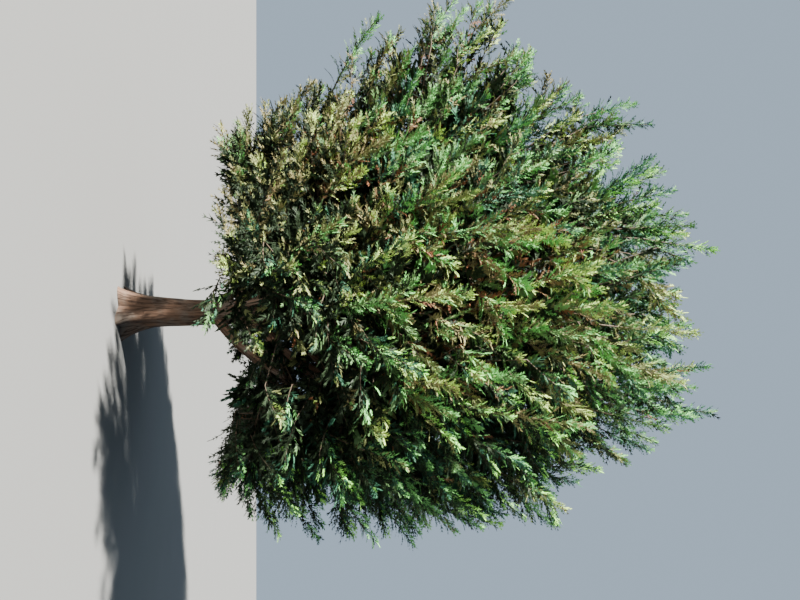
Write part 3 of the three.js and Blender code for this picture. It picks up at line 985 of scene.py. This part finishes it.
def bark_material(name, colours):
    """Thin bark in long fibrous strips: red-brown where fresh, grey where weathered, dark in the fissures."""
    strip_stretch = (1, 1, 0.06)
    lightest_fibres = 1.45
    fissure_depth, fibre_height = 0.6, 0.4
    material, nodes, shader = new_material(name, Specular_IOR_Level=0.25)
    grain = nodes.wire("ShaderNodeAttribute", {"attribute_name": "grain"}, output="Vector")
    stretched = nodes.wire("ShaderNodeVectorMath", {"operation": "MULTIPLY"}, {0: grain, 1: strip_stretch})
    strips = clouds(nodes, stretched, scale=26, detail=4, roughness=0.55)
    fibres = clouds(nodes, stretched, scale=170, detail=3, roughness=0.7)
    weather = clouds(nodes, grain, scale=3.2, detail=4)
    rift = nodes.wire("ShaderNodeMath", {"operation": "ABSOLUTE"}, {0: strips - 0.5})
    fissures = faded(nodes, rift, span=(0, 0.06), ends=(1, 0))
    worn = faded(nodes, weather, span=(0.42, 0.64), ends=(0, 0.8))
    fresh = mixed(nodes, fibres, colours.bark_fresh, shaded(colours.bark_fresh, lightest_fibres))
    aged = mixed(nodes, worn, fresh, colours.bark_weathered)
    feed(nodes, shader, "Base Color", mixed(nodes, fissures, aged, colours.bark_fissure))
    feed_roughness(nodes, shader, fibres, least=0.72, gain=0.2)
    height = 1 - fissures * fissure_depth + fibres * fibre_height
    feed_bump(nodes, shader, height, strength=0.8, distance=0.009)
    return material


def twig_material(colours):
    """Young bark: brown, with a greener and a greyer cast from place to place."""
    darkest_grain, grain_share = 0.5, 0.5
    material, nodes, shader = new_material("twig_bark", Specular_IOR_Level=0.3)
    place = nodes.wire("ShaderNodeTexCoord", output="Object")
    cast = clouds(nodes, place, scale=2.5, detail=3)
    grain = clouds(nodes, place, scale=60, detail=3)
    brown = mixed(nodes, cast, colours.twig, colours.twig_weathered)
    grained = mixed(nodes, grain * grain_share, brown, shaded(colours.twig, darkest_grain))
    feed(nodes, shader, "Base Color", grained)
    feed_roughness(nodes, shader, grain, least=0.6, gain=0.3)
    feed_bump(nodes, shader, grain, strength=0.4, distance=0.002)
    return material


def foliage_material(shade, colour):
    """Scale leaves with a thin wax: a plain colour, because the shades are dealt out by spray."""
    values = {"Base_Color": (*colour, 1), "Roughness": 0.62, "Specular_IOR_Level": 0.17}
    return new_material(f"leaf_{shade}", **values)[0]


def floor_material(colour):
    darkest_mottle = 0.96
    material, nodes, shader = new_material("floor_paint", Specular_IOR_Level=0.2)
    place = nodes.wire("ShaderNodeTexCoord", output="Object")
    mottle = clouds(nodes, place, scale=0.6, detail=4)
    feed(nodes, shader, "Base Color", mixed(nodes, mottle, colour, shaded(colour, darkest_mottle)))
    feed_roughness(nodes, shader, mottle, least=0.8, gain=0.15)
    return material


def new_object(name, points, faces=(), edges=()):
    mesh = bpy.data.meshes.new(name)
    mesh.from_pydata([tuple(p) for p in points], list(edges), list(faces))
    mesh.update()
    made = bpy.data.objects.new(name, mesh)
    bpy.context.scene.collection.objects.link(made)
    return made


def store(piece, name, kind, values):
    """Keeps a value for each point of a piece, as an attribute."""
    field = "vector" if kind == "FLOAT_VECTOR" else "value"
    number = np.int32 if kind == "INT" else np.float32
    attribute = piece.data.attributes.new(name, kind, "POINT")
    attribute.data.foreach_set(field, np.array(values, dtype=number).ravel())


def finish_piece(piece, nodes):
    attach(piece, "root")
    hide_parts(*nodes)


class Sweep:
    """Closed limbs with round sections along curves, with a grain that follows each limb."""

    def __init__(self):
        self.points, self.faces, self.grain = [], [], []

    def add(self, rings, sides, girth, seed):
        """A ring is (middle, side, other, length so far, radius at an angle). girth is the grain's radius."""
        first = len(self.points)
        for middle, side, other, run, radius in rings:
            for k in range(sides):
                angle = 2 * math.pi * k / sides
                outward = side * math.cos(angle) + other * math.sin(angle)
                self.points.append(middle + outward * radius(angle))
                self.grain.append((girth * math.cos(angle) + seed, girth * math.sin(angle), run))
        for ring in range(len(rings) - 1):
            for k in range(sides):
                a = first + ring * sides + k
                b = first + ring * sides + (k + 1) % sides
                self.faces.append((a, b, b + sides, a + sides))
        last = first + (len(rings) - 1) * sides
        self.faces.append(tuple(first + k for k in reversed(range(sides))))
        self.faces.append(tuple(last + k for k in range(sides)))

    def build(self, name, material):
        made = new_object(name, self.points, self.faces)
        store(made, "grain", "FLOAT_VECTOR", self.grain)
        made.data.materials.append(material)
        made.data.shade_smooth()
        return made


def bark_relief(angle, run, radius, seed, depth):
    """Fibrous strips that run along the limb, as an addition to its radius."""
    surface = Vector((math.cos(angle), math.sin(angle), 0)) * radius

    def grain(fineness, x, y):
        across, along = fineness
        return noise.noise(surface * across + Vector((x, y, run * along)))

    plates = min(1, abs(grain(RELIEF.strips, seed, 0)) * RELIEF.steepness)
    fibres = grain(RELIEF.fibres, 0, seed) * RELIEF.fibre_share
    lumps = grain(RELIEF.lumps, seed, seed) * RELIEF.lump_share
    return depth * (plates - RELIEF.level + fibres + lumps)


def trunk_rings(sizes):
    """Level rings, closer together near the foot, where the trunk flares."""
    rings = []
    for k in range(sizes.trunk_rings + 1):
        height = TRUNK_HEIGHT * (k / sizes.trunk_rings) ** RING_CROWDING
        fade = lerp(RELIEF.at_foot, 1, smooth(0, RELIEF.foot_height, height))

        def radius(angle, height=height, fade=fade):
            even = trunk_radius(height, angle)
            relief = bark_relief(angle, height, TRUNK_FOOT_RADIUS, 0, sizes.bark_depth)
            return even + relief * clamp(even / RELIEF.full_radius) * fade

        rings.append((trunk_middle(height), Vector((1, 0, 0)), Vector((0, 1, 0)), height, radius))
    return rings


def bough_rings(mass, sizes):
    curve = bough_curve(mass)
    length = (curve.end - curve.start).length
    side, _ = cross_directions(curve.tangent(0.5))
    depth = sizes.bark_depth * RELIEF.on_boughs
    rings = []
    for k in range(sizes.bough_rings + 1):
        share = k / sizes.bough_rings
        along = curve.tangent(share)
        level = (side - along * side.dot(along)).normalized()
        collar = 1 + COLLAR * math.exp(-share / COLLAR_LENGTH)
        even = lerp(BOUGH_FOOT_RADIUS, BOUGH_TIP_RADIUS, share) * collar

        def radius(angle, even=even, run=share * length):
            return even + bark_relief(angle, run, BOUGH_FOOT_RADIUS, mass.item, depth)

        rings.append((curve.point(share), level, along.cross(level), share * length, radius))
    return rings


def spray_shape(name, half, lean, droop, fold, shift):
    """A flat fern-like spray, one metre long along +Y: pointed lobes that leave a rib to both sides."""
    points = []

    def lobe(foot, angle, length, lift):
        along = Vector((math.sin(angle), math.cos(angle), lift))
        across = Vector((math.cos(angle), -math.sin(angle), 0)) * half
        middle = Vector((0, foot, 0))
        points.extend([middle - across, middle + across, middle + along * length])

    for foot, length in LOBE_PAIRS:
        for side in (1, -1):
            lobe(foot + shift * side, side * math.radians(lean), length, fold * side)
    lobe(0, 0, 1, 0)
    bent = [(p.x, p.y, p.z - droop * p.y * p.y) for p in points]
    return new_object(name, bent, [(first, first + 1, first + 2) for first in range(0, len(points), 3)])


def spray_shapes(lobe_lean):
    """The slender and the broad sprays, each with a form of its own."""
    shapes = []
    for k in [*SLENDER_SHAPES, *BROAD_SHAPES]:
        broad = k in BROAD_SHAPES
        lean = lobe_lean * lerp(*LOBE_LEANS, scatter(k, SHAPE_FEATURE.lean)) * (BROAD_LEAN if broad else 1)
        droop = lerp(*LOBE_DROOPS, scatter(k, SHAPE_FEATURE.droop))
        fold = lerp(*LOBE_FOLDS, scatter(k, SHAPE_FEATURE.fold))
        shift = lerp(*LOBE_SHIFTS, scatter(k, SHAPE_FEATURE.shift))
        half = BROAD_HALF if broad else SLENDER_HALF
        shapes.append(spray_shape(f"spray_shape_{k}", half, lean, droop, fold, shift))
    return shapes


def shoot_shape():
    """A fine woody shoot, one metre long along +Y: three sides that run to a point."""
    sides = 3
    first_corner = 0.25  # as a share of a turn
    angles = [2 * math.pi * (k / sides + first_corner) for k in range(sides)]
    corners = [(SHOOT_RADIUS * math.cos(a), 0, SHOOT_RADIUS * math.sin(a)) for a in angles]
    return new_object("shoot_shape", [*corners, (0, 1, 0)], [(1, 0, 3), (2, 1, 3), (0, 2, 3)])


def shape_collection(name, shapes):
    """The shapes, in a collection of their own that the nodes pick from."""
    collection = bpy.data.collections.new(name)
    bpy.context.scene.collection.children.link(collection)
    for shape in shapes:
        bpy.context.scene.collection.objects.unlink(shape)
        collection.objects.link(shape)
    return collection


def open_tree(name, inputs):
    """A geometry tree with named inputs: its nodes, its inputs as wires and their identifiers."""
    tree = bpy.data.node_groups.new(name, "GeometryNodeTree")
    tree.is_modifier = True
    tree.interface.new_socket("Geometry", in_out="OUTPUT", socket_type="NodeSocketGeometry")
    identifiers = {}
    for label, kind in {"Geometry": "NodeSocketGeometry", **inputs}.items():
        identifiers[label] = tree.interface.new_socket(label, in_out="INPUT", socket_type=kind).identifier
    nodes = Nodes(tree)
    source = nodes.add("NodeGroupInput")
    given = {socket.name: Wire(nodes, socket) for socket in source.outputs if socket.name}
    return nodes, given, identifiers


def close_tree(nodes, given, geometry, used_up):
    """Drops the attributes that are used up, realizes the instances and gives them their material."""
    for name in used_up:
        geometry = nodes.wire("GeometryNodeRemoveAttribute", sockets={"Geometry": geometry, "Name": name})
    realized = nodes.wire("GeometryNodeRealizeInstances", sockets={"Geometry": geometry})
    sockets = {"Geometry": realized, "Material": given["Material"]}
    painted = nodes.wire("GeometryNodeSetMaterial", sockets=sockets)
    nodes.add("NodeGroupOutput", sockets={"Geometry": painted})


def carried(nodes, name, kind):
    """An attribute that the points carry."""
    return nodes.wire("GeometryNodeInputNamedAttribute", {"data_type": kind}, {"Name": name}, "Attribute")


def placed_shapes_tree():
    """Puts a shape of the collection at each point, turned and sized by the point's attributes."""
    inputs = {"Shapes": "NodeSocketCollection", "Size": "NodeSocketFloat", "Material": "NodeSocketMaterial"}
    nodes, given, identifiers = open_tree("placed_shapes", inputs)
    shapes = nodes.wire(
        "GeometryNodeCollectionInfo",
        sockets={"Collection": given["Shapes"], "Separate Children": True, "Reset Children": True},
    )
    placed = nodes.wire(
        "GeometryNodeInstanceOnPoints",
        sockets={
            "Points": given["Geometry"],
            "Instance": shapes,
            "Pick Instance": True,
            "Instance Index": carried(nodes, "shape", "INT"),
            "Rotation": carried(nodes, "turn", "QUATERNION"),
            "Scale": carried(nodes, "length", "FLOAT") * given["Size"],
        },
    )
    close_tree(nodes, given, placed, ["turn", "length", "shape"])
    return nodes.tree, identifiers


def limbs_tree():
    """Turns each line of points into a closed limb, with the radius that its points carry."""
    inputs = {"Sides": "NodeSocketInt", "Thickness": "NodeSocketFloat", "Material": "NodeSocketMaterial"}
    nodes, given, identifiers = open_tree("limbs_on_lines", inputs)
    lines = nodes.wire("GeometryNodeMeshToCurve", sockets={"Mesh": given["Geometry"]})
    section = nodes.wire(
        "GeometryNodeCurvePrimitiveCircle",
        sockets={"Resolution": given["Sides"], "Radius": given["Thickness"]},
    )
    limbs = nodes.wire(
        "GeometryNodeCurveToMesh",
        sockets={
            "Curve": lines,
            "Profile Curve": section,
            "Scale": carried(nodes, "radius", "FLOAT"),
            "Fill Caps": True,
        },
    )
    close_tree(nodes, given, limbs, ["radius"])
    return nodes.tree, identifiers


def made_by_nodes(base, tree, identifiers, inputs):
    """The plain mesh that a geometry tree makes of a base object, under the base's name."""
    modifier = base.modifiers.new("made", "NODES")
    modifier.node_group = tree
    for label, value in inputs.items():
        modifier[identifiers[label]] = value
    depsgraph = bpy.context.evaluated_depsgraph_get()
    mesh = bpy.data.meshes.new_from_object(base.evaluated_get(depsgraph), depsgraph=depsgraph)
    base.modifiers.remove(modifier)
    bare = base.data
    base.data = mesh
    bpy.data.meshes.remove(bare)
    mesh.name = base.name
    if not mesh.polygons:
        raise RuntimeError(f"{base.name} came out empty")


def placed_points(name, placed):
    """An object of loose points that carry a turn, a length and a shape."""
    feet, turns, lengths, shapes = zip(*placed)
    base = new_object(name, feet)
    store(base, "turn", "QUATERNION", [tuple(turn) for turn in turns])
    store(base, "length", "FLOAT", lengths)
    store(base, "shape", "INT", shapes)
    return base


def property_maker(kind, **units):
    """Makes properties of one kind, each by its name, description and default."""

    def make(name, description, default):
        return kind(name=name, description=description, default=default, **units)

    return make


count_property = property_maker(bpy.props.IntProperty)
number_property = property_maker(bpy.props.FloatProperty)
length_property = property_maker(bpy.props.FloatProperty, unit="LENGTH")
camera_property = property_maker(bpy.props.FloatProperty, unit="CAMERA")
angle_property = property_maker(bpy.props.FloatProperty, subtype="ANGLE")
colour_property = property_maker(bpy.props.FloatVectorProperty, subtype="COLOR")
place_property = property_maker(bpy.props.FloatVectorProperty, subtype="TRANSLATION")
direction_property = property_maker(bpy.props.FloatVectorProperty, subtype="DIRECTION")


class BarkSizes(bpy.types.PropertyGroup):
    """Sizes of the meshes of the trunk, boughs, stems and twigs."""

    bark_depth: length_property("Bark depth", "How deep the strips of the bark are", 0.014)
    trunk_sides: count_property("Trunk sides", "Points round the trunk", 84)
    trunk_rings: count_property("Trunk rings", "Rings along the trunk", 120)
    bough_sides: count_property("Bough sides", "Points round a bough", 14)
    bough_rings: count_property("Bough rings", "Rings along a bough", 28)
    twig_sides: count_property("Twig sides", "Points round a stem or twig", 3)


class FoliageSizes(bpy.types.PropertyGroup):
    """Sizes of the finest growth."""

    shoot_length: length_property("Shoot length", "Longest side shoot of a plume", 0.32)
    spray_length: length_property("Spray length", "Length of a flat spray", 0.099)
    lobe_lean: number_property("Lobe lean", "Degrees between a spray's rib and its lobes", 27)


class TreeColours(bpy.types.PropertyGroup):
    """Colours of the bark and the stage."""

    bark_fresh: colour_property("Fresh bark", "Red-brown of fresh strips", (0.105, 0.06, 0.038))
    bark_weathered: colour_property("Weathered bark", "Grey of old strips", (0.14, 0.118, 0.096))
    bark_fissure: colour_property("Fissures", "Dark of the fissures", (0.045, 0.026, 0.017))
    twig: colour_property("Twigs", "Brown of young wood", (0.065, 0.042, 0.025))
    twig_weathered: colour_property("Old twigs", "Tan of bare twigs", (0.12, 0.092, 0.064))
    shoot: colour_property("Shoots", "Brown-green of fine shoots", (0.045, 0.058, 0.02))
    floor: colour_property("Floor", "Pale floor", (0.172, 0.172, 0.167))
    sky: colour_property("Backdrop", "Pale light from all around", (0.62, 0.79, 0.98))
    sun: colour_property("Sun", "Warm white of the key light", (1.0, 0.98, 0.92))


class StageSizes(bpy.types.PropertyGroup):
    """Light, camera and floor."""

    sun_strength: number_property("Sun", "Strength of the key light", 35.0)
    sun_softness: angle_property("Sun softness", "Angle of the key light", math.radians(3))
    sun_place: direction_property("Sun's place", "Towards the key light", (-0.78, -0.48, 0.64))
    sky_strength: number_property("Sky", "Strength of the fill light", 0.54)
    backdrop_strength: number_property("Backdrop", "How bright it is seen", 0.66)
    eye: place_property("Eye", "Where the camera stands", (-0.2, -11.25, 2.4))
    pitch: angle_property("Pitch", "How far the camera looks up", math.radians(12.8))
    lens: camera_property("Lens", "Focal length", 27.05)
    sensor: camera_property("Sensor", "Width of the picture", 36)
    floor_size: length_property("Floor size", "Width of the floor", 400)


class CYPRESS_OT_trunk(bpy.types.Operator):
    """Makes the trunk, with its root flare and the relief of its bark"""

    bl_idname = "cypress.trunk"
    bl_label = "Trunk"

    def execute(self, context):
        sizes = context.scene.cypress_bark
        sweep = Sweep()
        sweep.add(trunk_rings(sizes), sizes.trunk_sides, TRUNK_FOOT_RADIUS, 0)
        trunk = sweep.build("trunk_bark", bark_material("trunk_bark", context.scene.cypress_colours))
        finish_piece(trunk, ["trunk"])
        return {"FINISHED"}


class CYPRESS_OT_boughs(bpy.types.Operator):
    """Makes the main boughs, each from the trunk to where it enters its foliage"""

    bl_idname = "cypress.boughs"
    bl_label = "Boughs"

    def execute(self, context):
        sizes = context.scene.cypress_bark
        sweep = Sweep()
        for mass in lay_out_masses():
            if mass.leaves is not None:
                sweep.add(bough_rings(mass, sizes), sizes.bough_sides, BOUGH_FOOT_RADIUS, mass.item)
        boughs = sweep.build("boughs_bark", bark_material("bough_bark", context.scene.cypress_colours))
        finish_piece(boughs, BOUGH_NODES)
        return {"FINISHED"}


class CYPRESS_OT_foliage(bpy.types.Operator):
    """Grows the stems, twigs, shoots and sprays of every mass, each shade of spray as pieces of its own"""

    bl_idname = "cypress.foliage"
    bl_label = "Foliage"

    def execute(self, context):
        sizes = context.scene.cypress_foliage
        growth = grow_tree(sizes)
        self.make_limbs(growth, context.scene)
        tree, identifiers = placed_shapes_tree()
        self.make_shoots(growth, context.scene, tree, identifiers)
        self.make_sprays(growth, sizes, tree, identifiers)
        return {"FINISHED"}

    def make_limbs(self, growth, scene):
        points, edges, radii = [], [], []
        for line, line_radii in growth.lines:
            first = len(points)
            points += line
            radii += line_radii
            edges += [(first + k, first + k + 1) for k in range(len(line) - 1)]
        twigs = new_object("stems_and_twigs", points, edges=edges)
        store(twigs, "radius", "FLOAT", radii)
        tree, identifiers = limbs_tree()
        bark = twig_material(scene.cypress_colours)
        inputs = {"Sides": scene.cypress_bark.twig_sides, "Thickness": 1.0, "Material": bark}
        made_by_nodes(twigs, tree, identifiers, inputs)
        finish_piece(twigs, FOLIAGE_NODES)

    def make_shoots(self, growth, scene, tree, identifiers):
        shoots = placed_points("shoots", growth.shoots)
        collection = shape_collection("shoot_shapes", [shoot_shape()])
        green = foliage_material("shoot", scene.cypress_colours.shoot)
        made_by_nodes(shoots, tree, identifiers, {"Shapes": collection, "Size": 1.0, "Material": green})
        finish_piece(shoots, FOLIAGE_NODES)
        self.clear_shapes(collection)

    def make_sprays(self, growth, sizes, tree, identifiers):
        shapes = spray_shapes(sizes.lobe_lean)
        most_sprays = LARGEST_PIECE // max(len(shape.data.polygons) for shape in shapes)
        collection = shape_collection("spray_shapes", shapes)
        for shade, placed in growth.sprays.items():
            material = foliage_material(shade, SHADES[shade])
            inputs = {"Shapes": collection, "Size": 1.0, "Material": material}
            parts = max(1, math.ceil(len(placed) / most_sprays))
            for part in range(parts):
                name = f"sprays_{shade}" if parts == 1 else f"sprays_{shade}_{part + 1}"
                piece = placed_points(name, placed[part::parts])
                made_by_nodes(piece, tree, identifiers, inputs)
                finish_piece(piece, FOLIAGE_NODES)
        self.clear_shapes(collection)

    def clear_shapes(self, collection):
        for shape in list(collection.objects):
            bpy.data.objects.remove(shape)
        bpy.data.collections.remove(collection)


class CYPRESS_OT_stage(bpy.types.Operator):
    """Makes the floor, the light and the camera"""

    bl_idname = "cypress.stage"
    bl_label = "Stage"

    def execute(self, context):
        sizes = context.scene.cypress_stage
        colours = context.scene.cypress_colours
        self.make_floor(sizes, colours)
        self.make_backdrop(context, sizes, colours)
        self.make_sun(context, sizes, colours)
        self.make_camera(context, sizes)
        return {"FINISHED"}

    def make_floor(self, sizes, colours):
        half = sizes.floor_size / 2
        corners = [(-half, -half, 0), (half, -half, 0), (half, half, 0), (-half, half, 0)]
        floor = new_object("floor", corners, [(0, 1, 2, 3)])
        floor.data.materials.append(floor_material(colours.floor))

    def make_backdrop(self, context, sizes, colours):
        """The fill light, which is seen at another strength behind the tree."""
        world = bpy.data.worlds.new("backdrop")
        world.use_nodes = True
        background = world.node_tree.nodes["Background"]
        background.inputs["Color"].default_value = (*colours.sky, 1)
        nodes = Nodes(world.node_tree)
        seen = nodes.wire("ShaderNodeLightPath", output="Is Camera Ray")
        strength = sizes.sky_strength + seen * (sizes.backdrop_strength - sizes.sky_strength)
        world.node_tree.links.new(strength.socket, background.inputs["Strength"])
        context.scene.world = world

    def make_sun(self, context, sizes, colours):
        lamp = bpy.data.lights.new("sun", "SUN")
        lamp.energy = sizes.sun_strength
        lamp.angle = sizes.sun_softness
        lamp.color = colours.sun
        sun = bpy.data.objects.new("sun", lamp)
        sun.rotation_euler = Vector(sizes.sun_place).to_track_quat("Z", "Y").to_euler()
        context.scene.collection.objects.link(sun)

    def make_camera(self, context, sizes):
        """The camera is rolled a quarter turn, because the photograph lies on its side."""
        camera = bpy.data.cameras.new("camera")
        camera.sensor_width = sizes.sensor
        camera.lens = sizes.lens
        eye = bpy.data.objects.new("camera", camera)
        cosine, sine = math.cos(sizes.pitch), math.sin(sizes.pitch)
        upward = Vector((0, -sine, cosine))
        leftward = Vector((-1, 0, 0))
        backward = Vector((0, -cosine, -sine))
        turn = Matrix((upward, leftward, backward)).transposed().to_4x4()
        eye.matrix_world = Matrix.Translation(Vector(sizes.eye)) @ turn
        context.scene.collection.objects.link(eye)
        context.scene.camera = eye


class CYPRESS_PT_panel(bpy.types.Panel):
    """Lists the tree's pieces"""

    bl_label = "Cypress"
    bl_idname = "CYPRESS_PT_panel"
    bl_space_type = "VIEW_3D"
    bl_region_type = "UI"
    bl_category = "Cypress"

    def draw(self, context):
        for operator in OPERATORS:
            self.layout.operator(operator.bl_idname)
        for name in GROUPS:
            box = self.layout.box()
            group = getattr(context.scene, name)
            for prop in group.bl_rna.properties:
                if not prop.is_readonly and prop.identifier != "name":
                    box.prop(group, prop.identifier)


OPERATORS = [CYPRESS_OT_trunk, CYPRESS_OT_boughs, CYPRESS_OT_foliage, CYPRESS_OT_stage]
GROUPS = {
    "cypress_bark": BarkSizes,
    "cypress_foliage": FoliageSizes,
    "cypress_colours": TreeColours,
    "cypress_stage": StageSizes,
}


def register():
    for cls in [*GROUPS.values(), *OPERATORS, CYPRESS_PT_panel]:
        bpy.utils.register_class(cls)
    for name, group in GROUPS.items():
        setattr(bpy.types.Scene, name, bpy.props.PointerProperty(type=group))


def unregister():
    for name in GROUPS:
        delattr(bpy.types.Scene, name)
    for cls in [CYPRESS_PT_panel, *OPERATORS, *reversed(GROUPS.values())]:
        bpy.utils.unregister_class(cls)


def main():
    register()
    bpy.ops.cypress.stage()
    bpy.ops.cypress.trunk()
    bpy.ops.cypress.boughs()
    bpy.ops.cypress.foliage()


if __name__ == "__main__":
    main()
